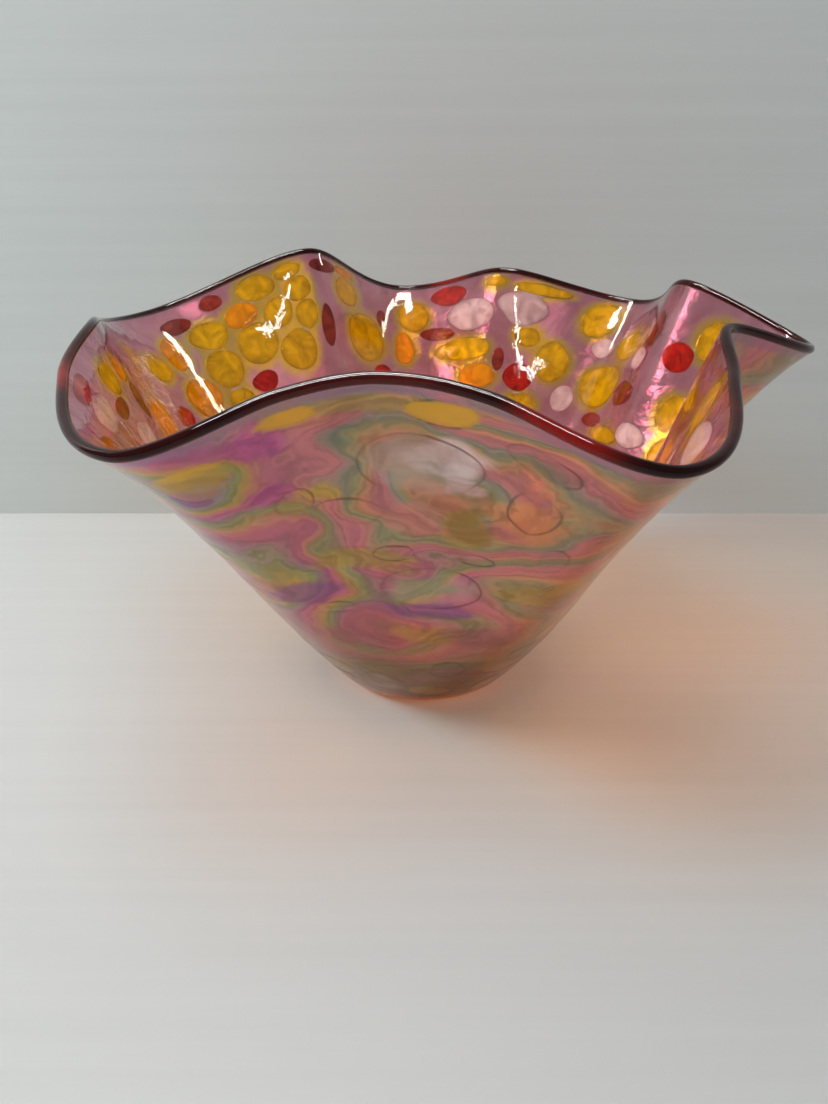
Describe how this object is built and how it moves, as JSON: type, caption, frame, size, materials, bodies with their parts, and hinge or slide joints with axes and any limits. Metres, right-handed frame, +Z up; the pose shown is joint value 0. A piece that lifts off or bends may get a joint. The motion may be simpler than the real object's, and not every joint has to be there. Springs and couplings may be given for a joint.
{
  "type": "art glass bowl",
  "caption": "Hand-blown ruffled glass bowl, rose-coloured, with colour chips fused inside its wall, an iridescent outside, a dark fire-polished lip and a heavy ground base.",
  "frame": {"origin": "centre of the flat ring that the bowl rests on", "axes": "+Z up, out of the bowl's mouth; -Y towards the broad fold between the two front lobes; +X towards the narrow right-hand lobe"},
  "size_m": [0.2646, 0.2591, 0.1546],
  "materials": {
    "base_glass": "clear amber-pink, ground and polished underneath",
    "gather_glass": "transparent rose, fire-polished inside",
    "overlay_glass": "rose with an iridescent lustre film outside",
    "lip_glass": "fire-polished dark garnet",
    "yellow_glass": "transparent gold-yellow chips",
    "amber_glass": "transparent amber-orange chips",
    "red_glass": "transparent cherry-red chips",
    "garnet_glass": "dense garnet-brown chips",
    "opal_glass": "translucent pale pink-grey chips"
  },
  "bodies": {
    "root": {"base_pad": "base_glass", "clear_gather": "gather_glass", "rose_overlay": "overlay_glass", "lip_bead": "lip_glass", "yellow_chips_lower": "yellow_glass", "yellow_chips_middle": "yellow_glass", "yellow_chips_upper": "yellow_glass", "amber_chips_lower": "amber_glass", "amber_chips_middle": "amber_glass", "amber_chips_upper": "amber_glass", "red_chips_lower": "red_glass", "red_chips_middle": "red_glass", "red_chips_upper": "red_glass", "garnet_chips_lower": "garnet_glass", "garnet_chips_middle": "garnet_glass", "garnet_chips_upper": "garnet_glass", "opal_chips_lower": "opal_glass", "opal_chips_middle": "opal_glass", "opal_chips_upper": "opal_glass"}
  },
  "joints": []
}
